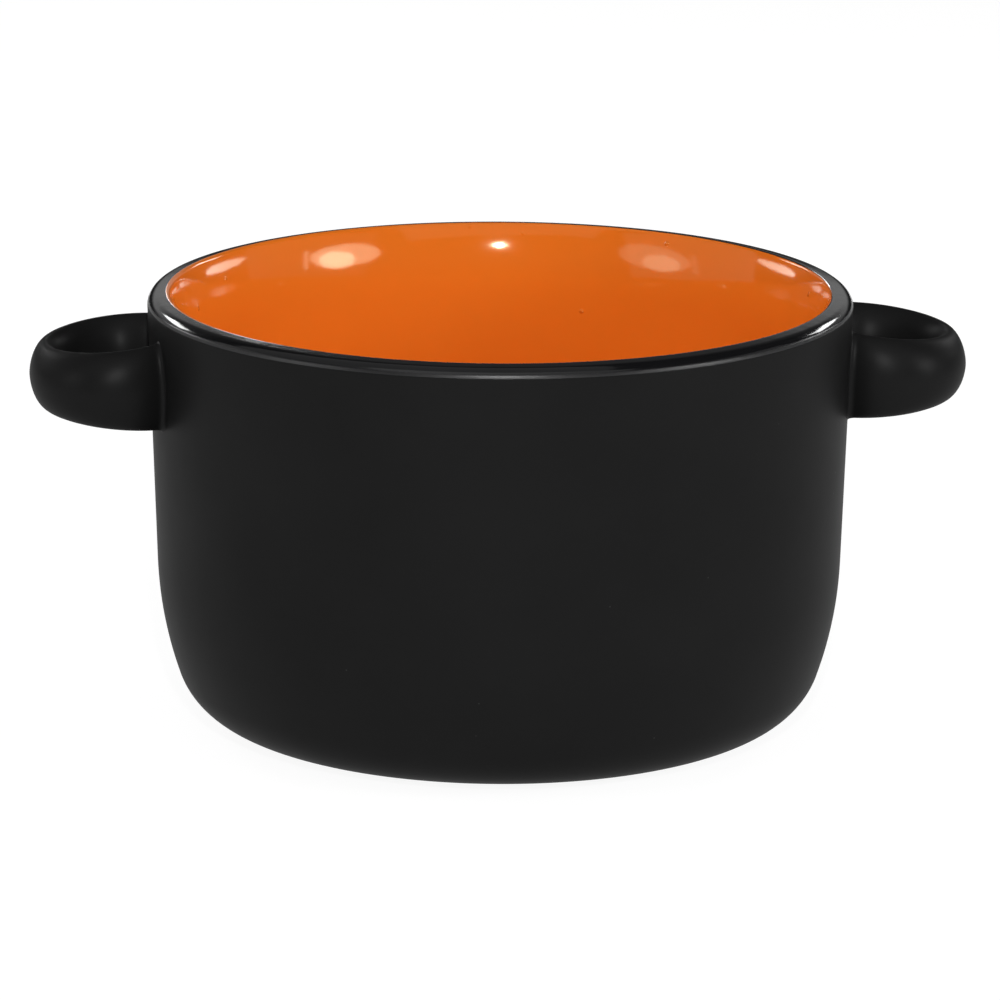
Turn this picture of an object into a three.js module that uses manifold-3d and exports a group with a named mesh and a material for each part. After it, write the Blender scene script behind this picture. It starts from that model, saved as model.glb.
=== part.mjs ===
// A handled soup bowl in stoneware: thrown bowl, two loop handles luted on with slip,
// matte black glaze outside, glossy orange glaze inside and a glossy black band over the lip.
// Millimetres, +Z up. The origin is the centre of the foot ring's resting face, the handles lie along X.
import * as THREE from 'three';
import { mergeVertices } from 'three/addons/utils/BufferGeometryUtils.js';
import Module from 'manifold-3d';

// Bowl outside: a drafted wall, a slow belly, a round corner and a flat base. Angles are in degrees.
const rimRadius = 60;
const bowlHeight = 75.3;
const wallDraftAngle = 1.78;
const bellyRadius = 66;
const bellyAngle = 18.8;
const cornerRadius = 12.2;

// Lip: an almost flat top that falls from a rounded crest at the inside to a rounded outer shoulder
const lipFlatWidth = 2.3;
const lipSlopeAngle = 8;
const lipCrestRadius = 0.8;
const lipShoulderRadius = 1;

// Bowl inside: a long roll under the lip, a drafted wall and a wide round into the floor
const lipRollRadius = 32;
const lipRollAngle = 23;
const insideDraftAngle = 1.2;
const insideCornerRadius = 18;
const floorThickness = 5;

// Foot ring, left bare of glaze
const footRadius = 40;
const footWidth = 5;
const footHeight = 1.2;
const footEdgeRadius = 0.4;
const recessDepth = 1.8;

// Glaze coats
const glazeThickness = 0.5;
const glazeSeat = 0.05;
const glazeSeam = 0.1;
const bandOuterAngle = 10;
const bandInnerAngle = 104;

// Loop handles, as seen from above: an ear shape round an oval finger hole. A shoulder is the distance
// from the outer end back to the widest part, from where the arms close in towards the wall.
const loopReach = 20.1;
const loopWidth = 35;
const loopShoulder = 14;
const outlineExponent = 2.13;
const loopEndThickness = 5.5;
const fingerHoleWidth = 21.6;
const fingerHoleShoulder = 10.5;
const fingerHoleExponent = 1.8;

// Loop handles, as seen from the side: tall at the wall, lower at the outer end, drooping a little
const loopDrop = 13.3;
const armHeightAtWall = 14.7;
const armHeightAtEnd = 11.1;
const loopDroopAngle = 0.3;
const sectionExponent = 1.75;

// Slip joints between the arms and the wall
const slipFilletRadius = 1.4;
const slipJointAngle = 105;
const armRootAngle = 132;
const armStubLength = 3.6;
const cutClearance = 0.3;

// Facets
const roundSegments = 48;
const crestSteps = 2;
const shoulderSteps = 2;
const rollSteps = 2;
const bellySteps = 3;
const cornerSteps = 5;
const insideCornerSteps = 5;
const footEdgeSteps = 2;
const loopSteps = 16;
const slipSteps = 5;
const sectionSides = 12;

const degrees = Math.PI / 180;
const wasm = await Module();
wasm.setup();

function direction(angle) {
  return new THREE.Vector2(Math.cos(angle * degrees), Math.sin(angle * degrees));
}

// Points on a round about a centre, from one direction to another.
function arc(centre, radius, from, to, steps) {
  const points = [];
  for (let i = 0; i <= steps; i++) {
    const angle = from + (to - from) * i / steps;
    points.push(centre.clone().addScaledVector(direction(angle), radius));
  }
  return points;
}

// The lip's flat lies on both of its rounds, so it sets one centre from the other.
const lipTopAngle = 90 - lipSlopeAngle;
const acrossLip = direction(180 - lipSlopeAngle).multiplyScalar(lipFlatWidth)
  .addScaledVector(direction(lipTopAngle), lipShoulderRadius - lipCrestRadius);
const crestCentre = new THREE.Vector2(
  rimRadius - lipShoulderRadius + acrossLip.x,
  bowlHeight - lipCrestRadius,
);
const shoulderCentre = crestCentre.clone().sub(acrossLip);
const crestSeam = glazeSeam / lipCrestRadius / degrees;
const shoulderSeam = glazeSeam / lipShoulderRadius / degrees;

// The outside runs wall, belly, corner, base, each tangent to the next.
const cornerRise = footHeight + cornerRadius;
const bellyRise = cornerRise + (bellyRadius - cornerRadius) * Math.sin(bellyAngle * degrees);
const wallTop = shoulderCentre.clone().addScaledVector(direction(-wallDraftAngle), lipShoulderRadius);
const wallFoot = bellyRise - bellyRadius * Math.sin(wallDraftAngle * degrees);

function wallRadiusAt(height) {
  return wallTop.x - (wallTop.y - height) * Math.tan(wallDraftAngle * degrees);
}

const bellyCentre = new THREE.Vector2(
  wallRadiusAt(wallFoot) - bellyRadius * Math.cos(wallDraftAngle * degrees),
  bellyRise,
);
const cornerCentre = new THREE.Vector2(
  bellyCentre.x + (bellyRadius - cornerRadius) * Math.cos(bellyAngle * degrees),
  cornerRise,
);

// The outside from the lip band down to the base, pushed into the wall by a depth.
function outsideLine(depth) {
  const edgeAngle = bandOuterAngle - shoulderSeam;
  return [
    ...arc(shoulderCentre, lipShoulderRadius - depth, edgeAngle, -wallDraftAngle, shoulderSteps),
    ...arc(bellyCentre, bellyRadius - depth, -wallDraftAngle, -bellyAngle, bellySteps),
    ...arc(cornerCentre, cornerRadius - depth, -bellyAngle, -90, cornerSteps).slice(1),
  ];
}

// The inside runs lip, roll, wall, corner, floor, each tangent to the next.
const rollStartAngle = 180 - lipRollAngle;
const insideWallAngle = 180 - insideDraftAngle;
const rollCentre = crestCentre.clone()
  .addScaledVector(direction(rollStartAngle), lipCrestRadius - lipRollRadius);
const insideCornerRise = footHeight + floorThickness + insideCornerRadius;
const insideWallTop = rollCentre.clone().addScaledVector(direction(insideWallAngle), lipRollRadius);
const insideWallFoot = insideCornerRise - insideCornerRadius * Math.sin(insideDraftAngle * degrees);
const insideCornerCentre = new THREE.Vector2(
  insideWallTop.x - (insideWallTop.y - insideWallFoot) * Math.tan(insideDraftAngle * degrees)
    - insideCornerRadius * Math.cos(insideDraftAngle * degrees),
  insideCornerRise,
);

// The inside from the lip band down to the floor's centre, pushed into the wall by a depth.
function insideLine(depth) {
  return [
    ...arc(crestCentre, lipCrestRadius - depth, bandInnerAngle + crestSeam, rollStartAngle, crestSteps),
    ...arc(rollCentre, lipRollRadius - depth, rollStartAngle, insideWallAngle, rollSteps).slice(1),
    ...arc(insideCornerCentre, insideCornerRadius + depth, -insideDraftAngle, -90, insideCornerSteps),
    new THREE.Vector2(0, footHeight + floorThickness - depth),
  ];
}

// The lip band from its inside edge over the top to its outside edge, pushed in by a depth.
function lipLine(depth) {
  return [
    ...arc(crestCentre, lipCrestRadius - depth, bandInnerAngle, lipTopAngle, crestSteps),
    ...arc(shoulderCentre, lipShoulderRadius - depth, lipTopAngle, bandOuterAngle, shoulderSteps),
  ];
}

// Welds a geometry to shared corners and drops the slivers that a revolve leaves on its axis.
function weld(geometry) {
  geometry.deleteAttribute('normal');
  geometry.deleteAttribute('uv');
  const welded = mergeVertices(geometry);
  const index = welded.getIndex();
  const kept = [];
  for (let i = 0; i < index.count; i += 3) {
    const [a, b, c] = [index.getX(i), index.getX(i + 1), index.getX(i + 2)];
    if (a !== b && b !== c && c !== a) kept.push(a, b, c);
  }
  welded.setIndex(kept);
  return welded;
}

// A solid of revolution about Z. The profile runs up the inside, over the top and down the outside.
function revolve(profile) {
  const geometry = new THREE.LatheGeometry(profile.toReversed(), roundSegments);
  geometry.rotateX(Math.PI / 2);
  return weld(geometry);
}

// A closed skin between a face line and the line behind it.
function skin(face, back) {
  return revolve([...face, ...back.toReversed(), face[0]]);
}

// A closed solid through rings of points, with a flat cap on each end.
function loft(rings) {
  const sides = rings[0].length;
  const corners = rings.flat();
  const triangles = [];
  for (let i = 0; i + 1 < rings.length; i++) {
    for (let j = 0; j < sides; j++) {
      const a = i * sides + j;
      const b = i * sides + (j + 1) % sides;
      triangles.push(a, a + sides, b, b, a + sides, b + sides);
    }
  }
  const last = (rings.length - 1) * sides;
  for (let j = 1; j + 1 < sides; j++) {
    triangles.push(0, j, j + 1);
    triangles.push(last, last + j + 1, last + j);
  }
  const geometry = new THREE.BufferGeometry().setFromPoints(corners);
  geometry.setIndex(triangles);
  return geometry;
}

function toSolid(geometry) {
  return new wasm.Manifold(new wasm.Mesh({
    numProp: 3,
    vertProperties: new Float32Array(geometry.getAttribute('position').array),
    triVerts: new Uint32Array(geometry.getIndex().array),
  }));
}

function toGeometry(solid) {
  const mesh = solid.getMesh();
  const geometry = new THREE.BufferGeometry();
  geometry.setAttribute('position', new THREE.BufferAttribute(mesh.vertProperties, mesh.numProp));
  geometry.setIndex(new THREE.BufferAttribute(mesh.triVerts, 1));
  return geometry;
}

function cut(geometry, ...cutters) {
  let solid = toSolid(geometry);
  for (const cutter of cutters) solid = solid.subtract(toSolid(cutter));
  return toGeometry(solid);
}

// Everything inside the bowl's outside line, as a plug to trim the arms by.
function wallPlug(depth) {
  const line = outsideLine(depth);
  const top = new THREE.Vector2(0, line[0].y);
  const bottom = new THREE.Vector2(0, line[line.length - 1].y);
  return revolve([top, ...line, bottom]);
}

const loopHeight = bowlHeight - loopDrop;
const armRoot = wallRadiusAt(loopHeight);
const loopTip = rimRadius + loopReach;
const holeTip = loopTip - loopEndThickness;
const up = new THREE.Vector3(0, 0, 1);

function power(value, exponent) {
  return Math.sign(value) * Math.abs(value) ** exponent;
}

// A point of a superellipse: exponent 2 is an ellipse, more is squarer.
function superellipse(angle, halfLength, halfWidth, exponent) {
  const way = direction(angle);
  return new THREE.Vector2(
    halfLength * power(way.x, 2 / exponent),
    halfWidth * power(way.y, 2 / exponent),
  );
}

// One cross-section of the loop, at a turn from its tip, sunk below the glazed face by a depth.
function loopSection(turn, depth) {
  const outer = superellipse(turn, loopShoulder, loopWidth / 2, outlineExponent);
  const hole = superellipse(turn, fingerHoleShoulder, fingerHoleWidth / 2, fingerHoleExponent);
  outer.x += loopTip - loopShoulder;
  hole.x += holeTip - fingerHoleShoulder;
  const middle = outer.clone().add(hole).divideScalar(2);
  const across = outer.clone().sub(hole);
  const travel = (middle.x - armRoot) / ((loopTip + holeTip) / 2 - armRoot);
  const halfHeight = THREE.MathUtils.lerp(armHeightAtWall, armHeightAtEnd, travel) / 2 - depth;
  const halfThickness = across.length() / 2 - depth;
  const rise = loopHeight - (middle.x - armRoot) * Math.tan(loopDroopAngle * degrees);
  const centre = new THREE.Vector3(middle.x, middle.y, rise);
  const side = new THREE.Vector3(across.x, across.y, 0).normalize();
  const corners = [];
  const ways = [];
  for (let i = 0; i < sectionSides; i++) {
    const angle = 360 * i / sectionSides;
    const spot = superellipse(angle, halfThickness, halfHeight, sectionExponent);
    const way = superellipse(angle, 1, 1, sectionExponent);
    corners.push(centre.clone().addScaledVector(side, spot.x).addScaledVector(up, spot.y));
    ways.push(side.clone().multiplyScalar(way.x).addScaledVector(up, way.y));
  }
  return { corners, ways };
}

function wallDistance(point) {
  return Math.hypot(point.x, point.y) - wallRadiusAt(point.z);
}

// How far the slip spreads along the wall at a distance from it: a concave quarter round.
function slipSpread(distance) {
  const rest = slipFilletRadius - THREE.MathUtils.clamp(distance, 0, slipFilletRadius);
  return slipFilletRadius - Math.sqrt(slipFilletRadius ** 2 - rest ** 2);
}

// The foot of an arm, as rings from its joint with the loop down to the wall and a stub into it. Each
// corner of the joint's section runs on to the wall, and spreads along the wall as it nears it.
function armFoot(side, depth) {
  const joint = loopSection(side * slipJointAngle, depth);
  const root = loopSection(side * armRootAngle, depth);
  const rings = [];
  for (let i = slipSteps; i >= 0; i--) {
    const nearness = (i / slipSteps) ** 2;
    rings.push(joint.corners.map((corner, j) => {
      const distance = wallDistance(corner);
      const reach = distance * (1 - nearness) / (distance - wallDistance(root.corners[j]));
      const point = corner.clone().lerp(root.corners[j], reach);
      const outward = new THREE.Vector3(point.x, point.y, 0).normalize();
      const along = joint.ways[j].clone().projectOnPlane(outward);
      return point.addScaledVector(along, slipSpread(distance * nearness));
    }));
  }
  const inward = new THREE.Vector3(-armStubLength, 0, 0);
  rings.push(rings[slipSteps].map((corner) => corner.clone().add(inward)));
  return rings;
}

// The loop between its two joints, short of each by the clearance of the cut.
function loopSpan(depth) {
  const cutTurn = cutClearance / fingerHoleShoulder / degrees;
  const rings = [];
  for (let i = 0; i <= loopSteps; i++) {
    const turn = (slipJointAngle - cutTurn) * (2 * i / loopSteps - 1);
    rings.push(loopSection(turn, depth).corners);
  }
  return rings;
}

function wholeLoop(depth) {
  return loft([...armFoot(-1, depth).toReversed(), ...loopSpan(depth), ...armFoot(1, depth)]);
}

const finishes = {
  stoneware: { color: '#c9b597', roughness: 0.9 },
  slip: { color: '#c2aa88', roughness: 0.9 },
  matteBlack: { color: '#1f1f20', roughness: 0.5 },
  glossBlack: { color: '#151515', roughness: 0.15 },
  orange: { color: '#dc6419', roughness: 0.12 },
};

const bowl = new THREE.Group();

function add(parent, name, geometry, finish) {
  const material = new THREE.MeshStandardMaterial({ ...finish, metalness: 0 });
  const mesh = new THREE.Mesh(geometry, material);
  mesh.name = name;
  parent.add(mesh);
}

const clayDepth = glazeThickness + glazeSeat;
const recessCeiling = recessDepth + clayDepth;

// The thrown body, from the floor up the inside, over the lip, down the outside and round the foot ring.
function footLine() {
  const outer = new THREE.Vector2(footRadius - footEdgeRadius, footEdgeRadius);
  const inner = new THREE.Vector2(footRadius - footWidth + footEdgeRadius, footEdgeRadius);
  return [
    new THREE.Vector2(footRadius, footHeight + clayDepth),
    ...arc(outer, footEdgeRadius, 0, -90, footEdgeSteps),
    ...arc(inner, footEdgeRadius, -90, -180, footEdgeSteps),
    new THREE.Vector2(footRadius - footWidth, recessCeiling),
    new THREE.Vector2(0, recessCeiling),
  ];
}

const bodyProfile = [
  ...insideLine(clayDepth).toReversed(),
  ...lipLine(clayDepth),
  ...outsideLine(clayDepth),
  ...footLine(),
];
add(bowl, 'bowl_body', revolve(bodyProfile), finishes.stoneware);

// Inside glaze, from the lip band down over the floor.
add(
  bowl,
  'interior_glaze',
  revolve([...insideLine(0).toReversed(), ...insideLine(glazeThickness)]),
  finishes.orange,
);

// Lip band.
add(bowl, 'rim_glaze', skin(lipLine(0), lipLine(glazeThickness)), finishes.glossBlack);

// Outside glaze, down to the foot ring and open where the four arms reach the wall.
function coatLine(depth) {
  return [...outsideLine(depth), new THREE.Vector2(footRadius + cutClearance, footHeight + depth)];
}

const loopCutter = wholeLoop(clayDepth - cutClearance);
const turnedCutter = loopCutter.clone().rotateZ(Math.PI);
const wallCoat = skin(coatLine(0), coatLine(glazeThickness));
add(bowl, 'exterior_glaze', cut(wallCoat, loopCutter, turnedCutter), finishes.matteBlack);

// Glaze in the recess under the foot.
const recessRadius = footRadius - footWidth - cutClearance;
const recessCoat = [
  new THREE.Vector2(0, recessDepth + glazeThickness),
  new THREE.Vector2(recessRadius, recessDepth + glazeThickness),
  new THREE.Vector2(recessRadius, recessDepth),
  new THREE.Vector2(0, recessDepth),
];
add(bowl, 'base_glaze', revolve(recessCoat), finishes.matteBlack);

// Each handle: the clay loop, a slip joint at the foot of each arm, and the glaze over all three.
const wallTrim = wallPlug(clayDepth - cutClearance);
const coatTrim = wallPlug(-cutClearance);
const loop = loft(loopSpan(clayDepth));
const frontSlip = cut(loft(armFoot(-1, clayDepth).toReversed()), wallTrim);
const rearSlip = cut(loft(armFoot(1, clayDepth)), wallTrim);
const loopCoat = cut(wholeLoop(0), wholeLoop(glazeThickness), coatTrim);

for (const [side, turn] of [['right', 0], ['left', Math.PI]]) {
  const handle = new THREE.Group();
  handle.rotation.z = turn;
  const [nearSlip, farSlip] = turn ? [rearSlip, frontSlip] : [frontSlip, rearSlip];
  add(handle, `${side}_handle`, loop, finishes.stoneware);
  add(handle, `${side}_handle_front_slip`, nearSlip, finishes.slip);
  add(handle, `${side}_handle_rear_slip`, farSlip, finishes.slip);
  add(handle, `${side}_handle_glaze`, loopCoat, finishes.matteBlack);
  bowl.add(handle);
}

export default bowl;
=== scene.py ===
import math

import bmesh
import bpy
import numpy as np
from mathutils import Matrix, Vector


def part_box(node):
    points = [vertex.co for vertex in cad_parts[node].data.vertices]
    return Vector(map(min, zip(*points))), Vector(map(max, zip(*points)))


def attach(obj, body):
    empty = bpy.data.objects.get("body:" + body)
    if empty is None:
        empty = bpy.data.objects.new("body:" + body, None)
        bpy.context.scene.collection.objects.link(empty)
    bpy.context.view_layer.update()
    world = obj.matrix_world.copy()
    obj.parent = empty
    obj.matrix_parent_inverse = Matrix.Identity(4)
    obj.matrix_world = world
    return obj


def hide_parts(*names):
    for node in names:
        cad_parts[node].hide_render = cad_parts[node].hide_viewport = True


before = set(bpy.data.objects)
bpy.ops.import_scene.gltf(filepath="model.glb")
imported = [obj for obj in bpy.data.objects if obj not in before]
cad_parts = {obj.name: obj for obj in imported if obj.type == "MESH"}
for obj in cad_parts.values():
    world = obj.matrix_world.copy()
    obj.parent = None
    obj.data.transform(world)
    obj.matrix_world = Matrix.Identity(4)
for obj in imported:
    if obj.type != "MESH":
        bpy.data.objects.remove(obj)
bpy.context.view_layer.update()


# Bowl body.
# One wall, floor and foot ring of buff stoneware, thrown on the wheel and trimmed when leather hard.
# The glazes cover it all but the foot ring, which is left bare so that it doesn't stick to the kiln shelf.
rim_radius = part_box("exterior_glaze")[1].x
bowl_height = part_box("rim_glaze")[1].z
lip_shoulder_radius = 0.0020
lip_crest_radius = 0.0008
lip_flat = 0.00143
lip_slope = 8
wall_draft = 1.78
belly_radius = 0.066
belly_turn = 18.8
corner_radius = 0.0122
inside_draft = 1.2
inside_corner_radius = 0.018
lip_roll_radius = 0.032
lip_roll_turn = 23
foot_height = 0.0012
foot_radius = 0.040
foot_width = 0.005
foot_edge_radius = 0.0004
floor_height = foot_height + 0.005
recess_height = 0.0018
glaze_thickness = 0.0005
clay_depth = glaze_thickness + 0.00005


def facing(angle):
    return np.array((math.cos(math.radians(angle)), math.sin(math.radians(angle))))


def arc(centre, radius, start, end, steps):
    angles = np.radians(np.linspace(start, end, steps + 1))
    return centre + radius * np.column_stack((np.cos(angles), np.sin(angles)))


def straight(start, end, steps):
    return np.linspace(start, end, steps + 1)[1:-1]


# The lip's top is almost flat: it falls a little from a rounded crest inside to a rounded outer shoulder.
across_lip = (
    lip_flat * facing(180 - lip_slope)
    + (lip_shoulder_radius - lip_crest_radius) * facing(90 - lip_slope)
)
crest = np.array((rim_radius - lip_shoulder_radius + across_lip[0], bowl_height - lip_crest_radius))
shoulder = crest - across_lip
wall_top = shoulder + lip_shoulder_radius * facing(-wall_draft)
corner_rise = foot_height + corner_radius
belly_rise = corner_rise + (belly_radius - corner_radius) * math.sin(math.radians(belly_turn))
wall_foot = belly_rise - belly_radius * math.sin(math.radians(wall_draft))


def wall_radius_at(height):
    return wall_top[0] - (wall_top[1] - height) * math.tan(math.radians(wall_draft))


belly_centre = np.array((wall_radius_at(wall_foot), wall_foot)) - belly_radius * facing(-wall_draft)
corner_centre = belly_centre + (belly_radius - corner_radius) * facing(-belly_turn)


def outside_line(depth):
    """The wall's outside from just under the lip to the base's flat, pushed into the clay by a depth."""
    belly = arc(belly_centre, belly_radius - depth, -wall_draft, -belly_turn, 14)
    top = arc(shoulder, lip_shoulder_radius - depth, lip_band_start, -wall_draft, 8)
    corner = arc(corner_centre, corner_radius - depth, -belly_turn, -90, 22)
    return np.vstack((top, straight(top[-1], belly[0], 24), belly, corner[1:]))


# The lip rolls over to the inside on a long round, which then runs down into the wall.
roll_centre = crest + (lip_crest_radius - lip_roll_radius) * facing(180 - lip_roll_turn)
roll_end = roll_centre + lip_roll_radius * facing(180 - inside_draft)
inside_corner_rise = floor_height + inside_corner_radius
inside_foot = inside_corner_rise - inside_corner_radius * math.sin(math.radians(inside_draft))
inside_corner_centre = np.array((
    roll_end[0] - (roll_end[1] - inside_foot) * math.tan(math.radians(inside_draft))
    - inside_corner_radius * math.cos(math.radians(inside_draft)),
    inside_corner_rise,
))


def inside_line(depth, start):
    """The inside from a place on the lip, given by the way it faces, down to the floor's centre."""
    lip = arc(crest, lip_crest_radius - depth, start, 180 - lip_roll_turn, 6)
    roll = arc(roll_centre, lip_roll_radius - depth, 180 - lip_roll_turn, 180 - inside_draft, 18)
    corner = arc(inside_corner_centre, inside_corner_radius + depth, -inside_draft, -90, 26)
    centre = np.array((0, floor_height - depth))
    return np.vstack((
        lip, roll[1:], straight(roll[-1], corner[0], 20), corner, straight(corner[-1], centre, 10), centre,
    ))


def turned_mesh(name, profile_at, on_axis, segments=192):
    """A mesh turned about Z. Its outline at each angle closes on itself, or starts and ends on the axis."""
    angles = np.linspace(0, 2 * math.pi, segments, endpoint=False)
    rings = [np.asarray(profile_at(angle)) for angle in angles]
    count = len(rings[0])
    points = [
        (radius * math.cos(angle), radius * math.sin(angle), height)
        for angle, ring in zip(angles, rings) for radius, height in ring
    ]
    faces = []
    for i in range(segments):
        here = i * count
        there = (i + 1) % segments * count
        for j in range(count - 1 if on_axis else count):
            k = (j + 1) % count
            faces.append((here + j, there + j, there + k, here + k))
    return closed_mesh(name, points, faces)


def closed_mesh(name, points, faces, crease=math.radians(50)):
    """A piece from points and faces, with doubled points joined, its faces out and its sharp edges kept."""
    mesh = bpy.data.meshes.new(name)
    mesh.from_pydata([tuple(point) for point in points], [], faces)
    sculpt = bmesh.new()
    sculpt.from_mesh(mesh)
    bmesh.ops.remove_doubles(sculpt, verts=sculpt.verts, dist=1e-7)
    bmesh.ops.dissolve_degenerate(sculpt, edges=sculpt.edges, dist=1e-8)
    bmesh.ops.recalc_face_normals(sculpt, faces=sculpt.faces)
    for face in sculpt.faces:
        face.smooth = True
    for edge in sculpt.edges:
        edge.smooth = edge.calc_face_angle(0) < crease
    sculpt.to_mesh(mesh)
    sculpt.free()
    piece = bpy.data.objects.new(name, mesh)
    bpy.context.scene.collection.objects.link(piece)
    return piece


def set_in(piece, material, node):
    piece.data.materials.append(material)
    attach(piece, "root")
    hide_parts(node)


foot_groove = 0.00012
foot_groove_rings = 3


def foot_line():
    """The bare foot ring: rounded edges and a flat resting face with the trimming tool's shallow rings."""
    outer = np.array((foot_radius - foot_edge_radius, foot_edge_radius))
    inner = np.array((foot_radius - foot_width + foot_edge_radius, foot_edge_radius))
    face = np.linspace(outer[0], inner[0], 12 * foot_groove_rings + 1)[1:-1]
    turn = (face - inner[0]) / (outer[0] - inner[0]) * 2 * math.pi * foot_groove_rings
    grooves = np.column_stack((face, foot_groove * (0.5 - 0.5 * np.cos(turn)) ** 2))
    ceiling = recess_height + clay_depth
    return np.vstack((
        (foot_radius, foot_height + clay_depth),
        arc(outer, foot_edge_radius, 0, -90, 5),
        grooves,
        arc(inner, foot_edge_radius, -90, -180, 5),
        (foot_radius - foot_width, ceiling),
        (0, ceiling),
    ))


lip_band_start = 10
lip_band_end = 104


def lip_line(depth, end):
    """The lip band's outline from a place on the crest, given by the way it faces, out to the shoulder."""
    inner = arc(crest, lip_crest_radius - depth, end, 90 - lip_slope, 6)
    outer = arc(shoulder, lip_shoulder_radius - depth, 90 - lip_slope, lip_band_start, 10)
    return np.vstack((inner, straight(inner[-1], outer[0], 6), outer))


def body_profile(angle):
    return np.vstack((
        inside_line(clay_depth, lip_band_end)[::-1],
        lip_line(clay_depth, lip_band_end)[1:-1],
        outside_line(clay_depth),
        foot_line(),
    ))


def add_node(tree, kind, **values):
    """A shader node with its settings, and its inputs' values where a name is one of its sockets."""
    node = tree.nodes.new(kind)
    for name, value in values.items():
        if hasattr(node, name):
            setattr(node, name, value)
        else:
            node.inputs[name.replace("_", " ").title()].default_value = value
    return node


def start_group(name, inputs, outputs):
    """An empty shader group with its sockets, as the tree, its input node and its output node."""
    tree = bpy.data.node_groups.new(name, "ShaderNodeTree")
    for socket, (kind, value) in inputs.items():
        made = tree.interface.new_socket(name=socket, in_out="INPUT", socket_type=kind)
        made.default_value = value
    for socket, kind in outputs.items():
        tree.interface.new_socket(name=socket, in_out="OUTPUT", socket_type=kind)
    return tree, tree.nodes.new("NodeGroupInput"), tree.nodes.new("NodeGroupOutput")


def start_material(name):
    """A new material, as itself, its node tree and its shader."""
    material = bpy.data.materials.new(name)
    material.use_nodes = True
    return material, material.node_tree, material.node_tree.nodes["Principled BSDF"]


def use_group(tree, group, **values):
    node = tree.nodes.new("ShaderNodeGroup")
    node.node_tree = group
    for name, value in values.items():
        node.inputs[name.replace("_", " ").capitalize()].default_value = value
    return node


# Fired clay seen close: a mottled tone, grit that shows darker, and a dry grainy surface.
clay_grain, grain_in, grain_out = start_group(
    "clay grain",
    {
        "Grain size": ("NodeSocketFloat", 0.0004),
        "Pale": ("NodeSocketColor", (0.6, 0.47, 0.33, 1)),
        "Deep": ("NodeSocketColor", (0.4, 0.28, 0.17, 1)),
    },
    {"Color": "NodeSocketColor", "Height": "NodeSocketFloat"},
)
place = add_node(clay_grain, "ShaderNodeTexCoord")
per_metre = add_node(clay_grain, "ShaderNodeMath", operation="DIVIDE")
per_metre.inputs[0].default_value = 1
mottle = add_node(clay_grain, "ShaderNodeTexNoise", scale=260, detail=4, roughness=0.6)
grains = add_node(clay_grain, "ShaderNodeTexNoise", detail=3, roughness=0.7)
grit = add_node(clay_grain, "ShaderNodeTexVoronoi", scale=1500)
grit_size = add_node(clay_grain, "ShaderNodeMapRange", from_min=0.12, from_max=0.2, to_min=1, to_max=0)
tone = add_node(clay_grain, "ShaderNodeMix", data_type="RGBA")
gritty = add_node(clay_grain, "ShaderNodeMix", data_type="RGBA")
gritty.inputs["B"].default_value = (0.16, 0.09, 0.05, 1)
link = clay_grain.links.new
link(grain_in.outputs["Grain size"], per_metre.inputs[1])
link(place.outputs["Object"], mottle.inputs["Vector"])
link(place.outputs["Object"], grains.inputs["Vector"])
link(place.outputs["Object"], grit.inputs["Vector"])
link(per_metre.outputs["Value"], grains.inputs["Scale"])
link(grit.outputs["Distance"], grit_size.inputs["Value"])
link(mottle.outputs["Fac"], tone.inputs["Factor"])
link(grain_in.outputs["Pale"], tone.inputs["A"])
link(grain_in.outputs["Deep"], tone.inputs["B"])
link(grit_size.outputs["Result"], gritty.inputs["Factor"])
link(tone.outputs["Result"], gritty.inputs["A"])
link(gritty.outputs["Result"], grain_out.inputs["Color"])
link(grains.outputs["Fac"], grain_out.inputs["Height"])

stoneware, tree, shader = start_material("bare stoneware")
grain = use_group(tree, clay_grain, grain_size=0.00035)
bump = add_node(tree, "ShaderNodeBump", strength=0.5, distance=0.00008)
tree.links.new(grain.outputs["Color"], shader.inputs["Base Color"])
tree.links.new(grain.outputs["Height"], bump.inputs["Height"])
tree.links.new(bump.outputs["Normal"], shader.inputs["Normal"])
shader.inputs["Roughness"].default_value = 0.85
set_in(turned_mesh("bowl_body_clay", body_profile, True), stoneware, "bowl_body")


# Interior glaze.
# A glossy orange glaze, poured into the bowl and tipped out, half a millimetre thick and melted to glass.
# It starts at the lip band's inner edge and runs down over the floor, on the thrown wall's slow waves.
interior_wave = 0.00006
calm_below_lip = 0.004
calm_floor_radius = 0.03
lip_edge_lean = 20
brush_wander = 1.6
brush_tremble = 0.9


def lip_edge(angle):
    """Where the orange meets the lip band, as the way the lip faces there; the brush line wanders."""
    wander = brush_wander * math.sin(5 * angle + 0.6)
    tremble = brush_tremble * math.sin(11 * angle + 2.1)
    return lip_band_end + lip_edge_lean * math.cos(angle) + wander + tremble


def wall_wave(angle, height):
    """How far the thrown wall swells or shrinks at a place."""
    return (
        math.sin(3 * angle + 0.7) * np.sin(height / 0.0058 + 1.1)
        + 0.6 * np.sin(7 * angle - 1.9 + height / 0.0041)
        + 0.4 * np.sin(12 * angle + 0.4 - height / 0.0072)
    )


def interior_profile(angle):
    face = inside_line(0, lip_edge(angle))
    calm_lip = np.clip((bowl_height - face[:, 1]) / calm_below_lip, 0, 1)
    calm_floor = np.clip(face[:, 0] / calm_floor_radius, 0, 1)
    face[:, 0] -= interior_wave * wall_wave(angle, face[:, 1]) * calm_lip * calm_floor
    back = inside_line(glaze_thickness, lip_edge(angle))
    return np.vstack((face[::-1], back))


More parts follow.
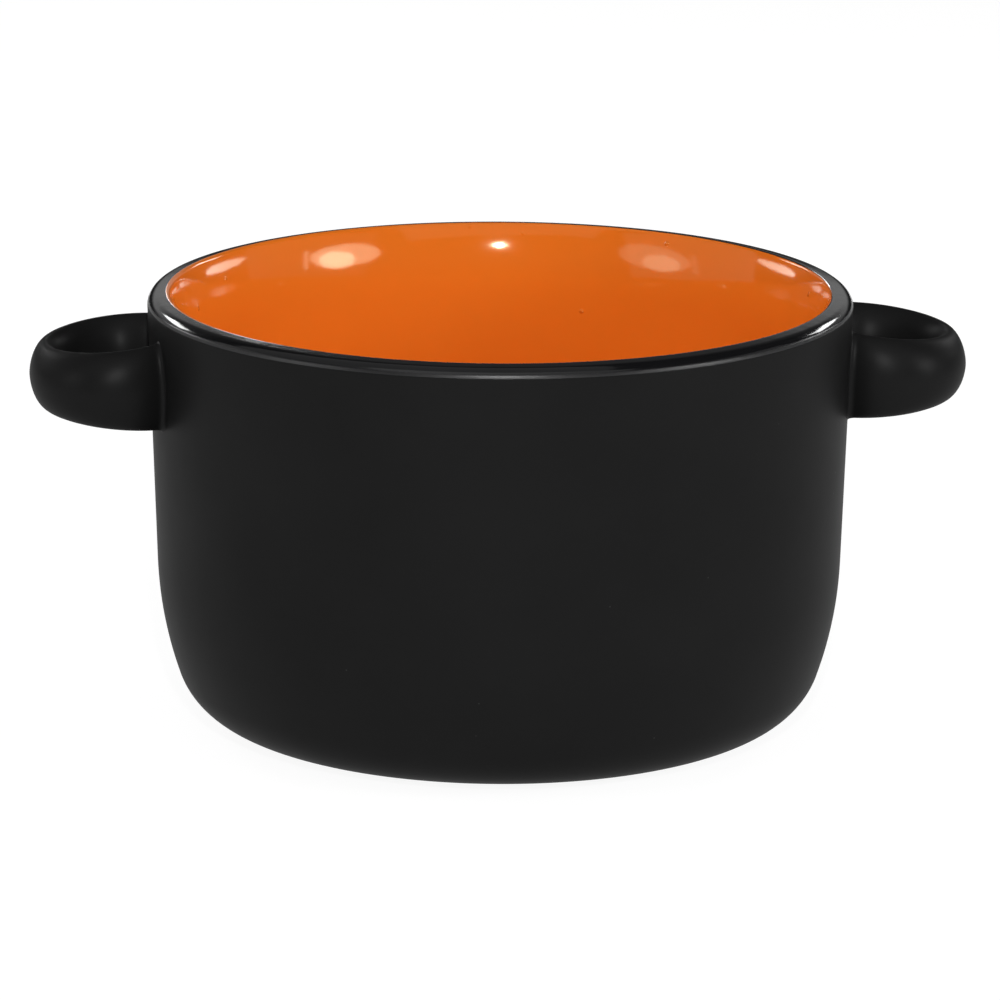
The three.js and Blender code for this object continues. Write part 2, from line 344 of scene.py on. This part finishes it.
# A glaze's own surface: slow ripples from the melt, and a tone that is deeper where the glaze lies thicker.
glaze_skin, skin_in, skin_out = start_group(
    "glaze skin",
    {
        "Ripple size": ("NodeSocketFloat", 0.004),
        "Pore size": ("NodeSocketFloat", 0.0004),
        "Pore share": ("NodeSocketFloat", 0.2),
    },
    {"Height": "NodeSocketFloat", "Tone": "NodeSocketFloat"},
)
place = add_node(glaze_skin, "ShaderNodeTexCoord")
ripple_scale = add_node(glaze_skin, "ShaderNodeMath", operation="DIVIDE")
ripple_scale.inputs[0].default_value = 1
pore_scale = add_node(glaze_skin, "ShaderNodeMath", operation="DIVIDE")
pore_scale.inputs[0].default_value = 1
ripple = add_node(glaze_skin, "ShaderNodeTexNoise", detail=2, roughness=0.45)
pores = add_node(glaze_skin, "ShaderNodeTexNoise", detail=3, roughness=0.6)
height = add_node(glaze_skin, "ShaderNodeMix", data_type="FLOAT")
cloud = add_node(glaze_skin, "ShaderNodeTexNoise", scale=45, detail=3, roughness=0.55)
link = glaze_skin.links.new
link(skin_in.outputs["Ripple size"], ripple_scale.inputs[1])
link(skin_in.outputs["Pore size"], pore_scale.inputs[1])
link(ripple_scale.outputs["Value"], ripple.inputs["Scale"])
link(pore_scale.outputs["Value"], pores.inputs["Scale"])
for texture in (ripple, pores, cloud):
    link(place.outputs["Object"], texture.inputs["Vector"])
link(skin_in.outputs["Pore share"], height.inputs["Factor"])
link(ripple.outputs["Fac"], height.inputs["A"])
link(pores.outputs["Fac"], height.inputs["B"])
link(height.outputs["Result"], skin_out.inputs["Height"])
link(cloud.outputs["Fac"], skin_out.inputs["Tone"])

# Specks far apart: pimples where the glaze boiled, or dust and pinholes that show light on a dark glaze.
glaze_specks, specks_in, specks_out = start_group(
    "glaze specks",
    {"Spacing": ("NodeSocketFloat", 0.003), "Reach": ("NodeSocketFloat", 0.06)},
    {"Mask": "NodeSocketFloat"},
)
place = add_node(glaze_specks, "ShaderNodeTexCoord")
speck_scale = add_node(glaze_specks, "ShaderNodeMath", operation="DIVIDE")
speck_scale.inputs[0].default_value = 1
cells = add_node(glaze_specks, "ShaderNodeTexVoronoi")
chosen = add_node(glaze_specks, "ShaderNodeMath", operation="GREATER_THAN")
chosen.inputs[1].default_value = 0.82
split = add_node(glaze_specks, "ShaderNodeSeparateColor")
near = add_node(
    glaze_specks, "ShaderNodeMapRange", interpolation_type="SMOOTHSTEP", from_min=0, to_min=1, to_max=0,
)
mask = add_node(glaze_specks, "ShaderNodeMath", operation="MULTIPLY")
link = glaze_specks.links.new
link(specks_in.outputs["Spacing"], speck_scale.inputs[1])
link(speck_scale.outputs["Value"], cells.inputs["Scale"])
link(place.outputs["Object"], cells.inputs["Vector"])
link(cells.outputs["Color"], split.inputs["Color"])
link(split.outputs["Red"], chosen.inputs[0])
link(cells.outputs["Distance"], near.inputs["Value"])
link(specks_in.outputs["Reach"], near.inputs["From Max"])
link(chosen.outputs["Value"], mask.inputs[0])
link(near.outputs["Result"], mask.inputs[1])
link(mask.outputs["Value"], specks_out.inputs["Mask"])

orange_glaze, tree, shader = start_material("glossy orange glaze")
skin = use_group(tree, glaze_skin, ripple_size=0.006, pore_size=0.0012, pore_share=0.08)
bump = add_node(tree, "ShaderNodeBump", strength=0.25, distance=0.00012)
depth = add_node(tree, "ShaderNodeMix", data_type="RGBA")
depth.inputs["A"].default_value = (0.96, 0.228, 0.0195, 1)
depth.inputs["B"].default_value = (0.93, 0.206, 0.0145, 1)
tree.links.new(skin.outputs["Tone"], depth.inputs["Factor"])
tree.links.new(depth.outputs["Result"], shader.inputs["Base Color"])
pimples = use_group(tree, glaze_specks, spacing=0.005, reach=0.11)
raised = add_node(tree, "ShaderNodeBump", strength=1, distance=0.0003)
tree.links.new(skin.outputs["Height"], bump.inputs["Height"])
tree.links.new(pimples.outputs["Mask"], raised.inputs["Height"])
tree.links.new(bump.outputs["Normal"], raised.inputs["Normal"])
tree.links.new(raised.outputs["Normal"], shader.inputs["Normal"])
shader.inputs["Roughness"].default_value = 0.08
shader.inputs["Specular Tint"].default_value = (1.0, 0.9, 0.6, 1)
interior_coat = turned_mesh("interior_glaze_coat", interior_profile, True)
set_in(interior_coat, orange_glaze, "interior_glaze")


# Rim glaze.
# A glossy black band brushed over the round lip after the inside was poured; it covers the glaze line
# and shines more than the outside, so the lip draws a bright line round the mouth.
def rim_profile(angle):
    return np.vstack((lip_line(0, lip_edge(angle)), lip_line(glaze_thickness, lip_edge(angle))[::-1]))


gloss_black, tree, shader = start_material("glossy black glaze")
skin = use_group(tree, glaze_skin, ripple_size=0.003, pore_size=0.0008, pore_share=0.1)
bump = add_node(tree, "ShaderNodeBump", strength=0.3, distance=0.0001)
depth = add_node(tree, "ShaderNodeMix", data_type="RGBA")
depth.inputs["A"].default_value = (0.010, 0.010, 0.011, 1)
depth.inputs["B"].default_value = (0.004, 0.004, 0.0045, 1)
tree.links.new(skin.outputs["Tone"], depth.inputs["Factor"])
tree.links.new(depth.outputs["Result"], shader.inputs["Base Color"])
tree.links.new(skin.outputs["Height"], bump.inputs["Height"])
tree.links.new(bump.outputs["Normal"], shader.inputs["Normal"])
place = add_node(tree, "ShaderNodeTexCoord")
flatten = add_node(tree, "ShaderNodeVectorMath", operation="MULTIPLY")
flatten.inputs[1].default_value = (1, 1, 0)
outward = add_node(tree, "ShaderNodeVectorMath", operation="LENGTH")
shine_end = rim_radius - 0.18 * lip_shoulder_radius
satin_start = rim_radius - 0.015 * lip_shoulder_radius
fade = add_node(
    tree, "ShaderNodeMapRange", from_min=shine_end, from_max=satin_start, to_min=0.10, to_max=0.47,
)
tree.links.new(place.outputs["Object"], flatten.inputs[0])
tree.links.new(flatten.outputs["Vector"], outward.inputs[0])
tree.links.new(outward.outputs["Value"], fade.inputs["Value"])
tree.links.new(fade.outputs["Result"], shader.inputs["Roughness"])
set_in(turned_mesh("rim_glaze_band", rim_profile, False), gloss_black, "rim_glaze")


# Exterior glaze.
# A satin matte black glaze that the bowl was dipped in, from under the lip band round the bottom corner.
# The potter wiped it back from the foot ring with a sponge, which leaves a slightly uneven edge.
wiped_gap = 0.0003
wiped_wander = 0.00018


def exterior_profile(angle):
    edge = foot_radius + wiped_gap + wiped_wander * (1 + math.sin(7 * angle + 1) * math.sin(3 * angle))
    face = np.vstack((outside_line(0), (edge, foot_height)))
    back = np.vstack((outside_line(glaze_thickness), (edge, foot_height + glaze_thickness)))
    return np.vstack((face, back[::-1]))


matte_black, tree, shader = start_material("matte black glaze")
skin = use_group(tree, glaze_skin, ripple_size=0.009, pore_size=0.00045, pore_share=0.45)
specks = use_group(tree, glaze_specks, spacing=0.0042, reach=0.045)
bump = add_node(tree, "ShaderNodeBump", strength=0.35, distance=0.00006)
depth = add_node(tree, "ShaderNodeMix", data_type="RGBA")
depth.inputs["A"].default_value = (0.0130, 0.0130, 0.0131, 1)
depth.inputs["B"].default_value = (0.0106, 0.0106, 0.0107, 1)
dusted = add_node(tree, "ShaderNodeMix", data_type="RGBA")
dusted.inputs["B"].default_value = (0.06, 0.06, 0.058, 1)
satin = add_node(tree, "ShaderNodeMapRange", to_min=0.45, to_max=0.55)
sheen = add_node(tree, "ShaderNodeMapRange", to_min=0.064, to_max=0.046)
tree.links.new(skin.outputs["Tone"], depth.inputs["Factor"])
tree.links.new(specks.outputs["Mask"], dusted.inputs["Factor"])
tree.links.new(depth.outputs["Result"], dusted.inputs["A"])
tree.links.new(dusted.outputs["Result"], shader.inputs["Base Color"])
tree.links.new(skin.outputs["Tone"], satin.inputs["Value"])
tree.links.new(satin.outputs["Result"], shader.inputs["Roughness"])
tree.links.new(skin.outputs["Tone"], sheen.inputs["Value"])
tree.links.new(sheen.outputs["Result"], shader.inputs["Coat Weight"])
tree.links.new(skin.outputs["Height"], bump.inputs["Height"])
tree.links.new(bump.outputs["Normal"], shader.inputs["Normal"])
shader.inputs["Specular IOR Level"].default_value = 0.015
shader.inputs["Coat IOR"].default_value = 2
shader.inputs["Coat Roughness"].default_value = 0.4
exterior_coat = turned_mesh("exterior_glaze_coat", exterior_profile, False)
set_in(exterior_coat, matte_black, "exterior_glaze")


# Base glaze.
# The same matte black, sponged into the shallow recess inside the foot ring, over the trimming rings.
# It stops just short of the ring.
recess_ring = 0.00006
recess_ring_count = 7
sponged_wander = 0.0001


def base_profile(angle):
    edge = foot_radius - foot_width - wiped_gap - sponged_wander * (1 + math.sin(6 * angle + 2))
    radii = np.linspace(0, edge, 61)
    rings = recess_ring * np.sin(radii / edge * 2 * math.pi * recess_ring_count)
    face = np.column_stack((radii, recess_height + rings))
    back = np.array(((0, recess_height + glaze_thickness), (edge, recess_height + glaze_thickness)))
    return np.vstack((back, face[::-1]))


set_in(turned_mesh("base_glaze_coat", base_profile, True), matte_black, "base_glaze")


# Clay handles.
# Two loops of the same stoneware, pulled and bent by hand to an ear shape round an oval finger hole. The arms
# close in towards the wall, where they are taller than at the tip. The glaze hides them.
loop_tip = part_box("right_handle_glaze")[1].x
loop_width = 0.035
loop_shoulder = 0.014
outline_exponent = 2.13
hole_tip = loop_tip - 0.0055
finger_hole_width = 0.0216
finger_hole_shoulder = 0.0105
finger_hole_exponent = 1.8
loop_height = bowl_height - 0.0133
arm_root = wall_radius_at(loop_height)
arm_height_at_wall = 0.0147
arm_height_at_end = 0.0111
loop_droop = 0.3
section_exponent = 1.75
joint_turn = 105
root_turn = 150
section_sides = 48


def superellipse(turn, half_length, half_width, exponent):
    way = facing(turn)
    rounded = np.sign(way) * np.abs(way) ** (2 / exponent)
    return rounded * (half_length, half_width)


def loop_section(turn, depth):
    """One ring of a handle, at a turn from its tip and sunk by a depth, with the way each point faces."""
    outer = superellipse(turn, loop_shoulder, loop_width / 2, outline_exponent)
    hole = superellipse(turn, finger_hole_shoulder, finger_hole_width / 2, finger_hole_exponent)
    outer[0] += loop_tip - loop_shoulder
    hole[0] += hole_tip - finger_hole_shoulder
    middle = (outer + hole) / 2
    across = (outer - hole) / np.linalg.norm(outer - hole)
    travel = (middle[0] - arm_root) / ((loop_tip + hole_tip) / 2 - arm_root)
    half_height = arm_height_at_wall / 2 * (1 - travel) + arm_height_at_end / 2 * travel - depth
    half_thickness = np.linalg.norm(outer - hole) / 2 - depth
    rise = loop_height - (middle[0] - arm_root) * math.tan(math.radians(loop_droop))
    centre = np.array((middle[0], middle[1], rise))
    ring = []
    ways = []
    for i in range(section_sides):
        side, up = superellipse(360 * i / section_sides, 1, 1, section_exponent)
        ways.append((across[0] * side, across[1] * side, up))
        ring.append(centre + np.multiply(ways[-1], (half_thickness, half_thickness, half_height)))
    return np.array(ring), np.array(ways)


def loop_rings(depth, steps=72):
    return [loop_section(turn, depth)[0] for turn in np.linspace(-joint_turn, joint_turn, steps + 1)]


def lofted_mesh(name, rings, capped):
    """A mesh through rings of points. The rings end in caps, or close on themselves."""
    sides = len(rings[0])
    spans = len(rings) - 1 if capped else len(rings)
    faces = []
    for i in range(spans):
        here = i * sides
        there = (i + 1) % len(rings) * sides
        for j in range(sides):
            k = (j + 1) % sides
            faces.append((here + j, here + k, there + k, there + j))
    if capped:
        faces.append(tuple(range(sides)))
        faces.append(tuple(range((len(rings) - 1) * sides, len(rings) * sides)))
    return closed_mesh(name, np.concatenate(rings), faces)


half_turn = np.array((-1, -1, 1))
handle_sides = {"right": 1, "left": half_turn}
for side, place_at in handle_sides.items():
    rings = [ring * place_at for ring in loop_rings(clay_depth)]
    set_in(lofted_mesh(f"{side}_handle_clay", rings, True), stoneware, f"{side}_handle")


# Slip joints.
# Clay slip that lutes each arm to the wall, wiped with a finger into a hollow fillet while wet.
# It is a little darker than the clay, and the glaze covers it.
slip_fillet = 0.0014
fillet_thinning = 0.75
ring_crowding = 1.6


def wall_distance(points):
    return np.hypot(points[..., 0], points[..., 1]) - wall_radius_at(points[..., 2])


def foot_rings(end, depth, reach, steps=26):
    """The foot of an arm as rings from its joint to a distance from the wall, spreading along the wall.

    The fillet thins out at the arm's top and bottom edges, where a finger can't press the slip in.
    """
    turns = end * np.linspace(joint_turn, root_turn, 40)
    arms = np.array([loop_section(turn, depth)[0] for turn in turns])
    ways = loop_section(end * joint_turn, depth)[1]
    gaps = wall_distance(arms)
    rings = []
    for step in range(steps + 1):
        ring = []
        for j in range(section_sides):
            gap = reach + (gaps[0, j] - reach) * (1 - step / steps) ** ring_crowding
            point = np.array([np.interp(-gap, -gaps[:, j], arms[:, j, k]) for k in range(3)])
            outward = np.array((point[0], point[1], 0)) / math.hypot(point[0], point[1])
            along = ways[j] - outward * np.dot(ways[j], outward)
            rest = slip_fillet - min(max(gap, 0), slip_fillet)
            spread = slip_fillet - math.sqrt(slip_fillet ** 2 - rest ** 2)
            spread *= 1 - fillet_thinning * abs(ways[j][2]) ** 8
            ring.append(point + along * spread)
        rings.append(np.array(ring))
    return rings


joining_slip, tree, shader = start_material("fired joining slip")
slip_pale = (0.5, 0.37, 0.24, 1)
slip_deep = (0.36, 0.24, 0.14, 1)
grain = use_group(tree, clay_grain, grain_size=0.0006, pale=slip_pale, deep=slip_deep)
bump = add_node(tree, "ShaderNodeBump", strength=0.4, distance=0.0001)
tree.links.new(grain.outputs["Color"], shader.inputs["Base Color"])
tree.links.new(grain.outputs["Height"], bump.inputs["Height"])
tree.links.new(bump.outputs["Normal"], shader.inputs["Normal"])
shader.inputs["Roughness"].default_value = 0.8
for side, place_at in handle_sides.items():
    for end in (-1, 1):
        rings = [ring * place_at for ring in foot_rings(end, clay_depth, -glaze_thickness)]
        name = f"{side}_handle_" + ("front_slip" if rings[0][:, 1].mean() < 0 else "rear_slip")
        set_in(lofted_mesh(name + "_clay", rings, True), joining_slip, name)


# Handle glazes.
# The outside's matte black runs on over the loops and their joints in one coat, thin on the arms' top edges
# and drawn into the hollow of the fillets. It sinks a little into the wall's coat, so that no gap shows.
sink = 0.0002


def whole_loop(depth):
    front = foot_rings(-1, depth, -sink)[::-1]
    rear = foot_rings(1, depth, -sink)
    return front + loop_rings(depth)[1:-1] + rear


sleeve = whole_loop(0) + whole_loop(glaze_thickness)[::-1]
for side, place_at in handle_sides.items():
    rings = [ring * place_at for ring in sleeve]
    coat = lofted_mesh(f"{side}_handle_glaze_coat", rings, False)
    set_in(coat, matte_black, f"{side}_handle_glaze")


# Floor.
# A plain white paper sweep that the bowl stands on. The camera and the glazes' mirror images see it as white,
# and it keeps the bowl's soft shadow.
floor_side = 1.6
floor_front = -3.0
floor_back = 0.82
floor_mesh = bpy.data.meshes.new("white_sweep")
floor_corners = [
    (-floor_side, floor_front, 0),
    (floor_side, floor_front, 0),
    (floor_side, floor_back, 0),
    (-floor_side, floor_back, 0),
]
floor_mesh.from_pydata(floor_corners, [], [(0, 1, 2, 3)])
floor = bpy.data.objects.new("white_sweep", floor_mesh)
bpy.context.scene.collection.objects.link(floor)
paper, tree, shader = start_material("white sweep paper")
shader.inputs["Base Color"].default_value = (0.18, 0.18, 0.18, 1)
shader.inputs["Roughness"].default_value = 0.9
shader.inputs["Specular IOR Level"].default_value = 0.1
path = add_node(tree, "ShaderNodeLightPath")
mirrored = add_node(tree, "ShaderNodeMath", operation="ADD")
seen = add_node(tree, "ShaderNodeMath", operation="ADD")
tree.links.new(path.outputs["Is Glossy Ray"], mirrored.inputs[0])
tree.links.new(path.outputs["Is Transmission Ray"], mirrored.inputs[1])
tree.links.new(path.outputs["Is Camera Ray"], seen.inputs[0])
tree.links.new(mirrored.outputs["Value"], seen.inputs[1])
tree.links.new(seen.outputs["Value"], shader.inputs["Emission Strength"])
shader.inputs["Emission Color"].default_value = (0.92, 0.92, 0.92, 1)
floor_mesh.materials.append(paper)


# Lamps.
# A softbox with a bright core in front on each side, strips and softboxes behind, a small lamp by the camera,
# large dim panels over the front, over the left and on both sides, and a room that is bright low behind.
camera_azimuth = -5.7
camera_elevation = 14.27
bowl_middle = Vector((0, 0, bowl_height / 2))


def direction_of(azimuth, elevation):
    """The way to a place round the bowl, by degrees to the right of the camera's side and degrees up."""
    turn = math.radians(camera_azimuth + azimuth)
    lift = math.radians(elevation)
    return Vector((math.sin(turn) * math.cos(lift), -math.cos(turn) * math.cos(lift), math.sin(lift)))


def add_softbox(name, azimuth, elevation, distance, width, height, radiance, shape="RECTANGLE", tilt=0):
    lamp = bpy.data.lights.new(name, "AREA")
    lamp.shape = shape
    lamp.size = width
    lamp.size_y = height
    lamp.energy = radiance * width * height * math.pi
    piece = bpy.data.objects.new(name, lamp)
    away = direction_of(azimuth, elevation)
    piece.location = bowl_middle + away * distance
    aimed = away.to_track_quat("Z", "Y").to_matrix() @ Matrix.Rotation(math.radians(tilt), 3, "Z")
    piece.rotation_euler = aimed.to_euler()
    bpy.context.scene.collection.objects.link(piece)


for side, share, fill in ((-1, 0.3, 0.45), (1, 1, 0.25)):
    add_softbox("softbox_panel", side * 62.5, 19.2, 0.80, 0.40, 0.19, 4 * share, "ELLIPSE", side * -12)
    add_softbox("softbox_core", side * 65, 16.5, 0.78, 0.20, 0.14, 6.5 * share, "ELLIPSE", side * -8)
    add_softbox("softbox_edge", side * 79, 16, 0.78, 0.03, 0.15, 3 * share)
    add_softbox("side_strip", side * 121.5, 14, 0.90, 0.38, 0.05, 4.5, "ELLIPSE", side * -22)
    add_softbox("rear_softbox", side * 138, 23, 0.90, 0.30, 0.12, 9)
    add_softbox("side_fill", side * 80, 13, 0.95, 1.0, 0.8, fill)
add_softbox("camera_lamp", 1, 24.5, 0.95, 0.024, 0.034, 1240)
add_softbox("rear_strip", -172, 19.5, 0.9, 0.035, 0.17, 10)
add_softbox("front_panel", 0, 48, 1.0, 1.3, 0.6, 0.5)
add_softbox("ceiling_panel", -70, 74, 1.1, 1.5, 1.5, 0.29)

world = bpy.data.worlds.new("studio room")
world.use_nodes = True
tree = world.node_tree
place = add_node(tree, "ShaderNodeTexCoord")
way = add_node(tree, "ShaderNodeSeparateXYZ")
rear = add_node(tree, "ShaderNodeMapRange", from_min=0.6, from_max=0.93, to_min=0.05, to_max=0.42)
low = add_node(tree, "ShaderNodeMapRange", from_min=0.26, from_max=0.40, to_min=1, to_max=0.22)
skirting = add_node(tree, "ShaderNodeMapRange", from_min=0.08, from_max=0.17, to_min=0.05, to_max=1)
band = add_node(tree, "ShaderNodeMath", operation="MULTIPLY")
room = add_node(tree, "ShaderNodeMath", operation="MULTIPLY")
tree.links.new(place.outputs["Generated"], way.inputs["Vector"])
tree.links.new(way.outputs["Y"], rear.inputs["Value"])
tree.links.new(way.outputs["Z"], low.inputs["Value"])
tree.links.new(way.outputs["Z"], skirting.inputs["Value"])
tree.links.new(low.outputs["Result"], band.inputs[0])
tree.links.new(skirting.outputs["Result"], band.inputs[1])
tree.links.new(rear.outputs["Result"], room.inputs[0])
tree.links.new(band.outputs["Value"], room.inputs[1])
tree.links.new(room.outputs["Value"], tree.nodes["Background"].inputs["Color"])
bpy.context.scene.world = world


# Camera.
# A long lens at the photograph's height, a little to the left of square, so the left handle comes nearer.
camera_distance = 1.0
camera_roll = 0.32
focal_share = 5.824
aim = Vector((0.00012, 0, 0.03823))
camera_data = bpy.data.cameras.new("camera")
camera_data.sensor_width = 36
camera_data.lens = focal_share * camera_data.sensor_width
camera_data.clip_start = 0.05
camera = bpy.data.objects.new("camera", camera_data)
back = direction_of(0, camera_elevation)
upright = back.to_track_quat("Z", "Y").to_matrix().to_4x4()
rolled = upright @ Matrix.Rotation(math.radians(camera_roll), 4, "Z")
camera.matrix_world = Matrix.Translation(aim + back * camera_distance) @ rolled
bpy.context.scene.collection.objects.link(camera)
bpy.context.scene.camera = camera
bpy.context.scene.view_settings.view_transform = "Standard"
